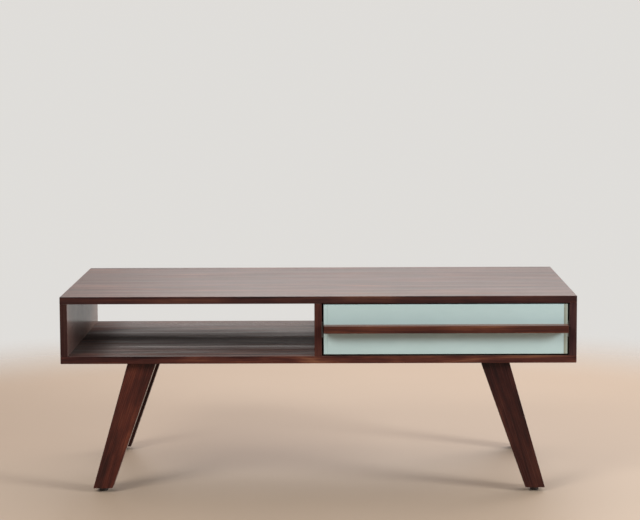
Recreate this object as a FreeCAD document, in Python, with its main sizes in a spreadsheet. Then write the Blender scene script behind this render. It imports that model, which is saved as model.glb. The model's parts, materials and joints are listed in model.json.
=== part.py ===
import FreeCAD, Part
import os
import Sketcher
from types import SimpleNamespace

# Low coffee table: a carcass on four splayed legs, with one open bay and one drawer.
# +Z is up, +X runs along the length and the drawer opens towards -Y.
# The origin is on the floor, under the middle of the whole outline with the pull.
# All lengths are millimetres.

LENGTHS = {
    # whole table
    "table_width": 1200.0,
    "table_depth": 600.0,
    "table_height": 466.0,
    "carcass_height": 157.0,
    "board_thickness": 17.0,
    "board_round": 1.5,
    # dowels between the carcass boards
    "dowel_radius": 4.0,
    "dowel_cover": 6.0,
    "dowel_panel_depth": 20.0,
    "dowel_edge_inset": 45.0,
    "dowel_fit": 0.05,
    "dowel_end_gap": 0.5,
    # back of the drawer bay, held in grooves
    "back_thickness": 9.0,
    "back_inset": 8.0,
    "groove_depth": 6.0,
    "groove_fit": 0.2,
    # legs
    "leg_top_width": 66.5,
    "leg_foot_width": 45.5,
    "leg_thickness": 50.0,
    "leg_top_inset": 154.5,
    "leg_foot_inset": 69.0,
    "front_leg_setback": 20.0,
    "rear_leg_setback": 40.0,
    "rear_leg_spread": 6.5,
    "leg_round": 1.5,
    # leg fixings
    "bolt_radius": 4.0,
    "bolt_leg_depth": 40.0,
    "bolt_tip_length": 6.0,
    "bolt_tip_radius": 1.0,
    "bolt_fit": 0.1,
    "insert_wall": 2.0,
    "insert_cover": 5.0,
    "leg_dowel_depth": 18.0,
    # glides under the legs
    "glide_radius": 10.0,
    "glide_height": 10.0,
    "glide_chamfer": 1.2,
    "glide_head_recess": 4.0,
    # wood screws
    "screw_radius": 2.0,
    "screw_head_radius": 4.0,
    "screw_head_height": 2.4,
    "screw_slot_width": 0.9,
    "screw_slot_depth": 0.7,
    "screw_fit": 0.05,
    "screw_head_room": 0.3,
    "screw_cover": 4.0,
    "glide_screw_bite": 22.0,
    # painted drawer front and its pull
    "front_side_gap": 4.5,
    "front_top_gap": 2.5,
    "front_bottom_gap": 4.0,
    "front_setback": 1.5,
    "front_thickness": 17.0,
    "front_round": 1.0,
    "lipping_width": 8.5,
    "pull_height": 17.0,
    "pull_projection": 30.0,
    "pull_lift": 3.0,
    "pull_round": 1.2,
    "pull_screw_cover": 12.0,
    # drawer box
    "box_board": 12.0,
    "box_lift": 12.0,
    "box_headroom": 16.0,
    "box_rear_room": 64.5,
    "box_round": 1.5,
    "box_dowel_radius": 3.0,
    "box_dowel_bite": 18.0,
    "bottom_thickness": 6.0,
    "bottom_rise": 10.0,
    "bottom_groove_depth": 6.0,
    "bottom_screw_bite": 16.0,
    # stops behind the drawer
    "stop_block_depth": 22.0,
    "stop_block_width": 40.0,
    "stop_reach": 12.0,
    "stop_pad_thickness": 2.0,
    "stop_pad_gap": 0.3,
    # ball-bearing slides
    "slide_end_margin": 2.5,
    "slide_overlap": 120.0,
    "rail_gauge": 1.2,
    "rail_height": 36.0,
    "rail_screw_inset": 40.0,
    "ball_radius": 2.8,
    "ball_play": 0.3,
    "cage_gauge": 0.6,
    "cage_room": 0.6,
    "cage_margin": 0.4,
    "cage_end": 8.0,
    "cage_shortfall": 6.0,
}

DOWELS_PER_JOINT = 4
BALLS_PER_ROW = 5
RAIL_SCREWS = 3
LEG_DOWEL_SHARE = 0.26
PULL_SCREW_SHARES = (0.12, 0.5, 0.88)
FRONT_SCREW_SHARES = (0.22, 0.78)
BOX_DOWEL_SHARES = (0.2, 0.5, 0.8)
BOTTOM_SCREW_SHARES = (0.15, 0.5, 0.85)
STOP_SHARES = (0.25, 0.75)

UP = FreeCAD.Vector(0, 0, 1)
LEFT = FreeCAD.Vector(-1, 0, 0)
RIGHT = FreeCAD.Vector(1, 0, 0)
FRONT = FreeCAD.Vector(0, -1, 0)
FULL_TURN = 360
HALF_TURN = 180

doc = FreeCAD.newDocument("coffee_table")
sheet = doc.addObject("Spreadsheet::Sheet", "dims")
for row, (alias, length) in enumerate(LENGTHS.items(), 1):
    sheet.set(f"A{row}", alias)
    sheet.set(f"B{row}", str(length))
    sheet.setAlias(f"B{row}", alias)
doc.recompute()


class Size:
    """A length, with the spreadsheet formula that drives it."""

    def __init__(self, formula, value):
        self.formula = formula
        self.value = value

    def __add__(self, other):
        other = as_size(other)
        return Size(f"({self.formula} + {other.formula})", self.value + other.value)

    def __sub__(self, other):
        other = as_size(other)
        return Size(f"({self.formula} - {other.formula})", self.value - other.value)

    def __mul__(self, other):
        other = as_size(other)
        return Size(f"({self.formula} * {other.formula})", self.value * other.value)

    def __truediv__(self, other):
        other = as_size(other)
        return Size(f"({self.formula} / {other.formula})", self.value / other.value)

    def __neg__(self):
        return Size(f"(-1 * {self.formula})", -self.value)


def as_size(amount):
    """Take a length, or a plain count or share, as a Size."""
    return amount if isinstance(amount, Size) else Size(str(amount), amount)


def bind(thing, name, size):
    """Drive one property of an object by a formula, unless it is simply zero."""
    if isinstance(size, Size):
        thing.setExpression(name, size.formula)


d = SimpleNamespace(**{alias: Size(f"dims.{alias}", float(sheet.get(alias))) for alias in LENGTHS})

# Places that several pieces share
HALF_WIDTH = d.table_width / 2
CARCASS_LEFT = -HALF_WIDTH
CARCASS_MID_Y = (d.pull_projection - d.front_setback) / 2
CARCASS_FRONT = CARCASS_MID_Y - d.table_depth / 2
UNDERSIDE_Z = d.table_height - d.carcass_height
BAY_FLOOR_Z = UNDERSIDE_Z + d.board_thickness
BAY_ROOF_Z = d.table_height - d.board_thickness
BAY_HEIGHT = d.carcass_height - d.board_thickness * 2
BAY_LEFT = d.board_thickness / 2
BAY_RIGHT = HALF_WIDTH - d.board_thickness
BAY_WIDTH = BAY_RIGHT - BAY_LEFT

DOWEL_SEAT_DEPTH = d.board_thickness - d.dowel_cover
DOWEL_HOLE = d.dowel_radius + d.dowel_fit
SCREW_HOLE = d.screw_radius + d.screw_fit
HEAD_HOLE = d.screw_head_radius + d.screw_head_room

BACK_FRONT_FACE = d.table_depth - d.back_inset - d.back_thickness

FRONT_WIDTH = BAY_WIDTH - d.front_side_gap * 2
FRONT_HEIGHT = BAY_HEIGHT - d.front_top_gap - d.front_bottom_gap
FRONT_LEFT = BAY_LEFT + d.front_side_gap
FRONT_FACE_Y = CARCASS_FRONT + d.front_setback
FRONT_FLOOR_Z = BAY_FLOOR_Z + d.front_bottom_gap
CORE_WIDTH = FRONT_WIDTH - d.lipping_width * 2
CORE_LEFT = FRONT_LEFT + d.lipping_width
PULL_MID_Z = FRONT_FLOOR_Z + FRONT_HEIGHT / 2 + d.pull_lift

# The slide's width follows from the balls and the sheet round them
BALL_HOLE = d.ball_radius + d.ball_play
FLANGE_CLEAR = d.rail_gauge + d.cage_room * 2 + d.cage_gauge
SLIDE_SPACE = (FLANGE_CLEAR + d.cage_margin + BALL_HOLE) * 2
FLANGE_REACH = SLIDE_SPACE - FLANGE_CLEAR
DRAWER_RAIL_HEIGHT = d.rail_height - d.rail_gauge * 2 - BALL_HOLE * 4
BALL_RISE = d.rail_height / 2 - d.rail_gauge - BALL_HOLE
CAGE_X = d.rail_gauge + d.cage_room
CAGE_HEIGHT = BALL_RISE * 2 + d.cage_gauge
CAGE_LENGTH = d.slide_overlap - d.cage_shortfall
RAIL_HEAD_RADIUS = d.screw_radius + d.rail_gauge

BOX_WIDTH = BAY_WIDTH - SLIDE_SPACE * 2
BOX_HEIGHT = BAY_HEIGHT - d.box_lift - d.box_headroom
BOX_FRONT_Y = FRONT_FACE_Y + d.front_thickness
BOX_DEPTH = BACK_FRONT_FACE - d.front_setback - d.front_thickness - d.box_rear_room
BOX_LEFT = BAY_LEFT + SLIDE_SPACE
BOX_RIGHT = BOX_LEFT + BOX_WIDTH
BOX_REAR_Y = BOX_FRONT_Y + BOX_DEPTH
BOX_FLOOR_Z = BAY_FLOOR_Z + d.box_lift
BOX_INNER_WIDTH = BOX_WIDTH - d.box_board * 2
BOX_INNER_LEFT = BOX_LEFT + d.box_board
BOTTOM_GROOVE_HEIGHT = d.bottom_thickness + d.groove_fit
BOTTOM_TOP = d.bottom_rise + BOTTOM_GROOVE_HEIGHT
BACK_HEIGHT = BOX_HEIGHT - BOTTOM_TOP
BOX_DOWEL_HEIGHTS = [BOTTOM_TOP + BACK_HEIGHT * share for share in BOX_DOWEL_SHARES]

SLIDE_LENGTH = BOX_DEPTH - d.slide_end_margin * 2
SLIDE_MID_Y = BOX_FRONT_Y + BOX_DEPTH / 2
SLIDE_MID_Z = BOX_FLOOR_Z + BOX_HEIGHT / 2
RAIL_SCREW_STEP = (SLIDE_LENGTH - d.rail_screw_inset * 2) / (RAIL_SCREWS - 1)
RAIL_SCREW_OFFSETS = [RAIL_SCREW_STEP * (i - (RAIL_SCREWS - 1) / 2) for i in range(RAIL_SCREWS)]

LEG_HEIGHT = UNDERSIDE_Z - d.glide_height
LEG_INNER_X = HALF_WIDTH - d.leg_top_inset - d.leg_top_width
LEG_LEAN = d.leg_top_width + d.leg_top_inset - d.leg_foot_inset - d.leg_foot_width
FOOT_MID = LEG_LEAN + d.leg_foot_width / 2
LEG_DRIFT = FOOT_MID - d.leg_top_width / 2
BOLT_MID = d.leg_top_width / 2 + LEG_DRIFT * d.bolt_leg_depth / (LEG_HEIGHT * 2)
LEG_DOWEL_OFFSET = d.leg_top_width * LEG_DOWEL_SHARE
INSERT_RADIUS = d.bolt_radius + d.insert_wall
INSERT_LENGTH = d.board_thickness - d.insert_cover

NORMAL_SIGNS = {"XY_Plane": 1, "YZ_Plane": 1, "XZ_Plane": -1}


def new_body(label, x, y, z, half_turn=False):
    """Start a body at a place, or turned half round the vertical there."""
    body = doc.addObject("PartDesign::Body", label)
    if half_turn:
        body.Placement = FreeCAD.Placement(FreeCAD.Vector(), FreeCAD.Rotation(UP, HALF_TURN))
    move(body, x, y, z)
    return body


def move(thing, x, y, z):
    """Bind an object's place."""
    for axis, size in zip("xyz", (x, y, z)):
        bind(thing, f"Placement.Base.{axis}", size)


def aim(thing, direction):
    """Turn an upright object to point along a direction."""
    thing.Placement = FreeCAD.Placement(FreeCAD.Vector(), FreeCAD.Rotation(UP, direction))


def new_sketch(body, role, level=0):
    """Open a sketch on one of the body's origin planes, raised along its axis to a level."""
    plane = next(feature for feature in body.Origin.OriginFeatures if feature.Role == role)
    sketch = body.newObject("Sketcher::SketchObject", f"{body.Name}_sketch")
    sketch.AttachmentSupport = [(plane, "")]
    sketch.MapMode = "FlatFace"
    if isinstance(level, Size):
        bind(sketch, "AttachmentOffset.Base.z", level * NORMAL_SIGNS[role])
    return sketch


def pin_point(sketch, geometry, point, x, y):
    """Hold one point of a sketch at driven distances from its origin."""
    for kind, axis, size in (("DistanceX", -2, as_size(x)), ("DistanceY", -1, as_size(y))):
        if size.value == 0:
            sketch.addConstraint(Sketcher.Constraint("PointOnObject", geometry, point, axis))
        elif size.value < 0:
            size = -size
            index = sketch.addConstraint(Sketcher.Constraint(kind, geometry, point, -1, 1, size.value))
            bind(sketch, f"Constraints[{index}]", size)
        else:
            index = sketch.addConstraint(Sketcher.Constraint(kind, -1, 1, geometry, point, size.value))
            bind(sketch, f"Constraints[{index}]", size)


def draw_polygon(sketch, points):
    """Draw a closed outline whose corners are all driven."""
    corners = [FreeCAD.Vector(as_size(x).value, as_size(y).value, 0) for x, y in points]
    first = sketch.GeometryCount
    count = len(corners)
    for i, corner in enumerate(corners):
        sketch.addGeometry(Part.LineSegment(corner, corners[(i + 1) % count]))
    for i in range(count):
        following = first + (i + 1) % count
        sketch.addConstraint(Sketcher.Constraint("Coincident", first + i, 2, following, 1))
    for i, (x, y) in enumerate(points):
        pin_point(sketch, first + i, 1, x, y)


def draw_rectangle(sketch, x_from, x_to, y_from, y_to):
    """Draw a driven rectangle."""
    draw_polygon(sketch, [(x_from, y_from), (x_to, y_from), (x_to, y_to), (x_from, y_to)])


def draw_circle(sketch, x, y, radius):
    """Draw a driven circle."""
    centre = FreeCAD.Vector(as_size(x).value, as_size(y).value, 0)
    geometry = sketch.addGeometry(Part.Circle(centre, UP, radius.value))
    pin_point(sketch, geometry, 3, x, y)
    index = sketch.addConstraint(Sketcher.Constraint("Radius", geometry, radius.value))
    bind(sketch, f"Constraints[{index}]", radius)


def pad(body, sketch, length, symmetric=False):
    """Raise a sketch into a solid."""
    feature = body.newObject("PartDesign::Pad", f"{body.Name}_pad")
    feature.Profile = sketch
    bind(feature, "Length", length)
    if symmetric:
        feature.SideType = "Symmetric"
    return feature


def cut(body, sketch, role, depth, towards):
    """Cut a sketch into a body, towards the plus or minus end of the plane's axis."""
    feature = body.newObject("PartDesign::Pocket", f"{body.Name}_cut")
    feature.Profile = sketch
    bind(feature, "Length", depth)
    feature.Reversed = (towards == "+") == (NORMAL_SIGNS[role] > 0)
    return feature


def drill(body, role, level, centres, radius, depth, towards):
    """Drill a set of equal round holes."""
    sketch = new_sketch(body, role, level)
    for x, y in centres:
        draw_circle(sketch, x, y, radius)
    return cut(body, sketch, role, depth, towards)


def mill(body, role, level, rectangle, depth, towards):
    """Mill one rectangular groove."""
    sketch = new_sketch(body, role, level)
    draw_rectangle(sketch, *rectangle)
    return cut(body, sketch, role, depth, towards)


def round_edges(body, feature, radius, wanted):
    """Round those straight edges of a feature that the test picks."""
    doc.recompute()
    names = [f"Edge{i}" for i, edge in enumerate(feature.Shape.Edges, 1) if wanted(edge)]
    fillet = body.newObject("PartDesign::Fillet", f"{body.Name}_round")
    fillet.Base = (feature, names)
    bind(fillet, "Radius", radius)
    return fillet


def runs_along(axis):
    """Test whether an edge is parallel to an axis."""
    return lambda edge: abs(edge.tangentAt(edge.FirstParameter).dot(axis)) > 1 - Part.Precision.confusion()


def board(label, x, y, z, width, depth, height):
    """Start a board with its lowest corner at a place, and return it with its pad."""
    body = new_body(label, x, y, z)
    sketch = new_sketch(body, "XY_Plane")
    draw_rectangle(sketch, 0, width, 0, depth)
    return body, pad(body, sketch, height)


def group(label, members):
    """Keep equal small pieces together as separate solids of one node."""
    compound = doc.addObject("Part::Compound", label)
    compound.Links = members
    return compound


def peg(label, x, y, z, radius, length, direction=UP):
    """Make a plain dowel from one end along a direction."""
    cylinder = doc.addObject("Part::Cylinder", f"{label}_peg")
    bind(cylinder, "Radius", radius)
    bind(cylinder, "Height", length)
    aim(cylinder, direction)
    move(cylinder, x, y, z)
    return cylinder


def plain_box(label, x, y, z, width, depth, height):
    """Make a plain rectangular block with its lowest corner at a place."""
    box = doc.addObject("Part::Box", label)
    bind(box, "Length", width)
    bind(box, "Width", depth)
    bind(box, "Height", height)
    move(box, x, y, z)
    return box


def slotted(label, solid, head_radius, x, y, z, direction):
    """Cut a driver slot across the head of a screw, which then goes to its place."""
    slot = doc.addObject("Part::Box", f"{label}_slot")
    bind(slot, "Length", head_radius * 2)
    bind(slot, "Width", d.screw_slot_width)
    bind(slot, "Height", d.screw_slot_depth)
    move(slot, -head_radius, -d.screw_slot_width / 2, 0)
    screw = doc.addObject("Part::Cut", f"{label}_screw")
    screw.Base = solid
    screw.Tool = slot
    aim(screw, direction)
    move(screw, x, y, z)
    return screw


def pan_screw(label, x, y, z, direction, reach):
    """Make a screw whose head's outer face is at a place; reach is the shank under the head."""
    head = doc.addObject("Part::Cylinder", f"{label}_head")
    bind(head, "Radius", d.screw_head_radius)
    bind(head, "Height", d.screw_head_height)
    shank = doc.addObject("Part::Cylinder", f"{label}_shank")
    bind(shank, "Radius", d.screw_radius)
    bind(shank, "Height", d.screw_head_height + reach)
    solid = doc.addObject("Part::Fuse", f"{label}_solid")
    solid.Base = head
    solid.Tool = shank
    return slotted(label, solid, d.screw_head_radius, x, y, z, direction)


def flush_screw(label, x, y, z, direction, reach):
    """Make a countersunk screw that lies flush in a rail's web; reach is the shank past the web."""
    head = doc.addObject("Part::Cone", f"{label}_head")
    bind(head, "Radius1", RAIL_HEAD_RADIUS)
    bind(head, "Radius2", d.screw_radius)
    bind(head, "Height", d.rail_gauge)
    shank = doc.addObject("Part::Cylinder", f"{label}_shank")
    bind(shank, "Radius", d.screw_radius)
    bind(shank, "Height", d.rail_gauge + reach)
    solid = doc.addObject("Part::Fuse", f"{label}_solid")
    solid.Base = head
    solid.Tool = shank
    return slotted(label, solid, RAIL_HEAD_RADIUS, x, y, z, direction)


# Where the dowels stand along the depth, from the carcass front
DOWEL_STEP = (d.table_depth - d.dowel_edge_inset * 2) / (DOWELS_PER_JOINT - 1)
DOWEL_PLACES = [d.dowel_edge_inset + DOWEL_STEP * i for i in range(DOWELS_PER_JOINT)]
PANEL_MIDS = (d.board_thickness / 2, HALF_WIDTH, d.table_width - d.board_thickness / 2)
BOARD_DOWELS = [(x, y) for x in PANEL_MIDS for y in DOWEL_PLACES]
PANEL_DOWELS = [(d.board_thickness / 2, y) for y in DOWEL_PLACES]

# The groove that holds the back of the drawer bay, from the carcass's left front corner
GROOVE_Y = (BACK_FRONT_FACE - d.groove_fit, BACK_FRONT_FACE + d.back_thickness + d.groove_fit)
BOARD_GROOVE = (
    HALF_WIDTH + BAY_LEFT - d.groove_depth,
    HALF_WIDTH + BAY_RIGHT + d.groove_depth,
    *GROOVE_Y,
)

# For each row of legs, how far out the inner side of its tops is, and its middle from the carcass front.
# The rear legs stand a little further apart than the front ones.
LEG_ROWS = {
    "front": (LEG_INNER_X, d.front_leg_setback + d.leg_thickness / 2),
    "rear": (LEG_INNER_X + d.rear_leg_spread, d.table_depth - d.rear_leg_setback - d.leg_thickness / 2),
}
LEG_SIDES = {"left": -1, "right": 1}


def leg_points(offset):
    """List one point of each leg's top, from the carcass's left front corner."""
    return [
        (HALF_WIDTH + (inner_x + offset) * side, y)
        for side in LEG_SIDES.values() for inner_x, y in LEG_ROWS.values()
    ]


LEG_BOLTS = leg_points(BOLT_MID)
LEG_DOWELS = leg_points(BOLT_MID - LEG_DOWEL_OFFSET) + leg_points(BOLT_MID + LEG_DOWEL_OFFSET)

# Rail screws on a carcass panel, as depth and height from its lowest front corner
PANEL_RAIL_SCREWS = [
    (SLIDE_MID_Y - CARCASS_FRONT + offset, SLIDE_MID_Z - BAY_FLOOR_Z) for offset in RAIL_SCREW_OFFSETS
]
PANEL_SCREW_DEPTH = d.board_thickness - d.screw_cover
SIDE_RAIL_SCREWS = [(BOX_DEPTH / 2 + offset, BOX_HEIGHT / 2) for offset in RAIL_SCREW_OFFSETS]
SIDE_SCREW_DEPTH = d.box_board - d.screw_cover


def make_top_board():
    body, slab = board(
        "top_board", CARCASS_LEFT, CARCASS_FRONT, BAY_ROOF_Z,
        d.table_width, d.table_depth, d.board_thickness,
    )
    round_edges(body, slab, d.board_round, lambda edge: True)
    drill(body, "XY_Plane", 0, BOARD_DOWELS, DOWEL_HOLE, DOWEL_SEAT_DEPTH, "+")
    mill(body, "XY_Plane", 0, BOARD_GROOVE, d.groove_depth, "+")
    return [body]


def make_bottom_board():
    body, slab = board(
        "bottom_board", CARCASS_LEFT, CARCASS_FRONT, UNDERSIDE_Z,
        d.table_width, d.table_depth, d.board_thickness,
    )
    round_edges(body, slab, d.board_round, lambda edge: True)
    drill(body, "XY_Plane", d.board_thickness, BOARD_DOWELS, DOWEL_HOLE, DOWEL_SEAT_DEPTH, "-")
    mill(body, "XY_Plane", d.board_thickness, BOARD_GROOVE, d.groove_depth, "-")
    drill(body, "XY_Plane", 0, LEG_BOLTS, INSERT_RADIUS + d.bolt_fit, INSERT_LENGTH, "+")
    drill(body, "XY_Plane", 0, LEG_DOWELS, DOWEL_HOLE, DOWEL_SEAT_DEPTH, "+")
    return [body]


def carcass_panel(label, x):
    """Make an upright board between the top and the bottom, with its dowel holes."""
    body, slab = board(label, x, CARCASS_FRONT, BAY_FLOOR_Z, d.board_thickness, d.table_depth, BAY_HEIGHT)
    round_edges(body, slab, d.board_round, runs_along(UP))
    drill(body, "XY_Plane", 0, PANEL_DOWELS, DOWEL_HOLE, d.dowel_panel_depth, "+")
    drill(body, "XY_Plane", BAY_HEIGHT, PANEL_DOWELS, DOWEL_HOLE, d.dowel_panel_depth, "-")
    return body


def make_panels():
    left = carcass_panel("left_side_panel", CARCASS_LEFT)

    right = carcass_panel("right_side_panel", BAY_RIGHT)
    mill(right, "XY_Plane", 0, (0, d.groove_depth, *GROOVE_Y), BAY_HEIGHT, "+")
    drill(right, "YZ_Plane", 0, PANEL_RAIL_SCREWS, SCREW_HOLE, PANEL_SCREW_DEPTH, "+")

    divider = carcass_panel("divider_panel", -d.board_thickness / 2)
    groove = (d.board_thickness - d.groove_depth, d.board_thickness, *GROOVE_Y)
    mill(divider, "XY_Plane", 0, groove, BAY_HEIGHT, "+")
    drill(divider, "YZ_Plane", d.board_thickness, PANEL_RAIL_SCREWS, SCREW_HOLE, PANEL_SCREW_DEPTH, "-")
    return [left, right, divider]


def make_bay_back():
    """Make the back of the drawer bay, which stands on the floor of its groove."""
    tongue = d.groove_depth - d.groove_fit
    return [plain_box(
        "drawer_bay_back", BAY_LEFT - tongue, CARCASS_FRONT + BACK_FRONT_FACE, BAY_FLOOR_Z - d.groove_depth,
        BAY_WIDTH + tongue * 2, d.back_thickness, BAY_HEIGHT + d.groove_depth + tongue,
    )]


def make_carcass_dowels():
    length = DOWEL_SEAT_DEPTH + d.dowel_panel_depth - d.dowel_end_gap
    lower = BAY_FLOOR_Z - DOWEL_SEAT_DEPTH + d.dowel_end_gap / 2
    upper = BAY_ROOF_Z - d.dowel_panel_depth + d.dowel_end_gap / 2
    pegs = []
    for x, y in BOARD_DOWELS:
        for z in (lower, upper):
            pegs.append(peg(
                "carcass", CARCASS_LEFT + x, CARCASS_FRONT + y, z, d.dowel_radius, length,
            ))
    return [group("carcass_dowels", pegs)]


def make_leg(label, inner_x, y, side):
    """Make one leg, drawn with its outer side towards +X and turned round for the left side."""
    body = new_body(label, inner_x * side, y, d.glide_height, half_turn=side < 0)
    sketch = new_sketch(body, "XZ_Plane")
    draw_polygon(sketch, [
        (LEG_LEAN, 0),
        (LEG_LEAN + d.leg_foot_width, 0),
        (d.leg_top_width, LEG_HEIGHT),
        (0, LEG_HEIGHT),
    ])
    blank = pad(body, sketch, d.leg_thickness, symmetric=True)
    round_edges(body, blank, d.leg_round, lambda edge: (
        not runs_along(FRONT)(edge) and not runs_along(RIGHT)(edge)
    ))
    drill(body, "XY_Plane", LEG_HEIGHT, [(BOLT_MID, 0)], d.bolt_radius + d.bolt_fit, d.bolt_leg_depth, "-")
    dowels = [(BOLT_MID - LEG_DOWEL_OFFSET, 0), (BOLT_MID + LEG_DOWEL_OFFSET, 0)]
    drill(body, "XY_Plane", LEG_HEIGHT, dowels, DOWEL_HOLE, d.leg_dowel_depth, "-")
    drill(body, "XY_Plane", 0, [(FOOT_MID, 0)], SCREW_HOLE, d.glide_screw_bite, "+")
    return body


def make_glide(label, x, y):
    """Make one turned glide, with a recess below for the head of its screw."""
    body = new_body(label, x, y, 0)
    sketch = new_sketch(body, "XZ_Plane")
    draw_polygon(sketch, [
        (HEAD_HOLE, 0),
        (d.glide_radius - d.glide_chamfer, 0),
        (d.glide_radius, d.glide_chamfer),
        (d.glide_radius, d.glide_height),
        (SCREW_HOLE, d.glide_height),
        (SCREW_HOLE, d.glide_head_recess),
        (HEAD_HOLE, d.glide_head_recess),
    ])
    turned = body.newObject("PartDesign::Revolution", f"{label}_turned")
    turned.Profile = sketch
    turned.ReferenceAxis = (sketch, ["V_Axis"])
    turned.Angle = FULL_TURN
    return body


def make_legs():
    legs = []
    glides = []
    screws = []
    head_z = d.glide_head_recess - d.screw_head_height
    reach = d.glide_height - d.glide_head_recess + d.glide_screw_bite - d.dowel_end_gap
    for row, (inner_x, row_y) in LEG_ROWS.items():
        for side_name, side in LEG_SIDES.items():
            foot_x = (inner_x + FOOT_MID) * side
            y = CARCASS_FRONT + row_y
            legs.append(make_leg(f"{row}_{side_name}_leg", inner_x, y, side))
            glides.append(make_glide(f"{row}_{side_name}_glide", foot_x, y))
            screws.append(pan_screw("glide", foot_x, y, head_z, UP, reach))
    return legs + glides + [group("glide_screws", screws)]


def make_leg_fixings():
    bolts = []
    inserts = []
    foot = UNDERSIDE_Z - d.bolt_leg_depth + d.dowel_end_gap
    shaft_length = d.bolt_leg_depth - d.dowel_end_gap - d.bolt_tip_length + INSERT_LENGTH - d.dowel_end_gap
    for x, y in LEG_BOLTS:
        tip = doc.addObject("Part::Cone", "bolt_tip")
        bind(tip, "Radius1", d.bolt_tip_radius)
        bind(tip, "Radius2", d.bolt_radius)
        bind(tip, "Height", d.bolt_tip_length)
        shaft = peg("bolt", 0, 0, d.bolt_tip_length, d.bolt_radius, shaft_length)
        bolt = doc.addObject("Part::Fuse", "hanger_bolt")
        bolt.Base = tip
        bolt.Tool = shaft
        move(bolt, CARCASS_LEFT + x, CARCASS_FRONT + y, foot)
        bolts.append(bolt)

        insert = doc.addObject("Part::Cut", "threaded_insert")
        insert.Base = peg("insert_outer", 0, 0, 0, INSERT_RADIUS, INSERT_LENGTH)
        insert.Tool = peg("insert_bore", 0, 0, 0, d.bolt_radius + d.bolt_fit, INSERT_LENGTH)
        move(insert, CARCASS_LEFT + x, CARCASS_FRONT + y, UNDERSIDE_Z)
        inserts.append(insert)

    low = UNDERSIDE_Z - d.leg_dowel_depth + d.dowel_end_gap / 2
    length = d.leg_dowel_depth + DOWEL_SEAT_DEPTH - d.dowel_end_gap
    dowels = [
        peg("leg", CARCASS_LEFT + x, CARCASS_FRONT + y, low, d.dowel_radius, length) for x, y in LEG_DOWELS
    ]
    return [
        group("leg_hanger_bolts", bolts),
        group("leg_threaded_inserts", inserts),
        group("leg_dowels", dowels),
    ]


def channel(label, x, z_mid, height, reach, gauge, length, half_turn):
    """Make a folded channel that lies along Y, with its web at a place and its flanges to one side."""
    body = new_body(label, x, SLIDE_MID_Y, z_mid - height / 2, half_turn)
    sketch = new_sketch(body, "XZ_Plane")
    draw_polygon(sketch, [
        (0, 0),
        (reach, 0),
        (reach, gauge),
        (gauge, gauge),
        (gauge, height - gauge),
        (reach, height - gauge),
        (reach, height),
        (0, height),
    ])
    pad(body, sketch, length, symmetric=True)
    return body


def make_rail(label, x, height, half_turn):
    """Make one rail of a slide, with countersunk screw holes in its web."""
    body = channel(label, x, SLIDE_MID_Z, height, FLANGE_REACH, d.rail_gauge, SLIDE_LENGTH, half_turn)
    for offset in RAIL_SCREW_OFFSETS:
        hole = body.newObject("PartDesign::SubtractiveCone", f"{label}_sink")
        bind(hole, "Radius1", d.screw_radius + d.screw_fit)
        bind(hole, "Radius2", RAIL_HEAD_RADIUS + d.screw_fit)
        bind(hole, "Height", d.rail_gauge)
        aim(hole, RIGHT)
        move(hole, 0, offset, height / 2)
    return body


def make_slides():
    rails = []
    cabinet_screws = []
    drawer_screws = []
    bite = PANEL_SCREW_DEPTH - d.dowel_end_gap
    side_bite = SIDE_SCREW_DEPTH - d.dowel_end_gap
    for side_name, wall, box_side, inward in (
        ("left", BAY_LEFT, BOX_LEFT, 1),
        ("right", BAY_RIGHT, BOX_RIGHT, -1),
    ):
        into_wall = LEFT if inward > 0 else RIGHT
        into_box = RIGHT if inward > 0 else LEFT
        rails.append(make_rail(f"{side_name}_cabinet_rail", wall, d.rail_height, inward < 0))
        rails.append(make_rail(f"{side_name}_drawer_rail", box_side, DRAWER_RAIL_HEIGHT, inward > 0))
        for offset in RAIL_SCREW_OFFSETS:
            y = SLIDE_MID_Y + offset
            cabinet_screws.append(flush_screw(
                "cabinet_rail", wall + d.rail_gauge * inward, y, SLIDE_MID_Z, into_wall, bite,
            ))
            drawer_screws.append(flush_screw(
                "drawer_rail", box_side - d.rail_gauge * inward, y, SLIDE_MID_Z, into_box, side_bite,
            ))
    return rails + [
        group("cabinet_rail_screws", cabinet_screws),
        group("drawer_rail_screws", drawer_screws),
    ]


def make_ball_cages():
    """Make the folded cage of each slide, with its two rows of balls."""
    pieces = []
    ball_x = SLIDE_SPACE / 2
    step = (CAGE_LENGTH - d.cage_end * 2) / (BALLS_PER_ROW - 1)
    places = [step * (i - (BALLS_PER_ROW - 1) / 2) for i in range(BALLS_PER_ROW)]
    for side_name, wall, inward in (("left", BAY_LEFT, 1), ("right", BAY_RIGHT, -1)):
        cage = channel(
            f"{side_name}_ball_cage", wall + CAGE_X * inward, SLIDE_MID_Z,
            CAGE_HEIGHT, FLANGE_REACH - CAGE_X, d.cage_gauge, CAGE_LENGTH, inward < 0,
        )
        holes = [(ball_x - CAGE_X, y) for y in places]
        drill(cage, "XY_Plane", 0, holes, BALL_HOLE, CAGE_HEIGHT, "+")
        balls = []
        for y in places:
            for row in (-1, 1):
                ball = doc.addObject("Part::Sphere", "ball")
                bind(ball, "Radius", d.ball_radius)
                move(ball, wall + ball_x * inward, SLIDE_MID_Y + y, SLIDE_MID_Z + BALL_RISE * row)
                balls.append(ball)
        pieces += [cage, group(f"{side_name}_slide_balls", balls)]
    return pieces


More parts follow.
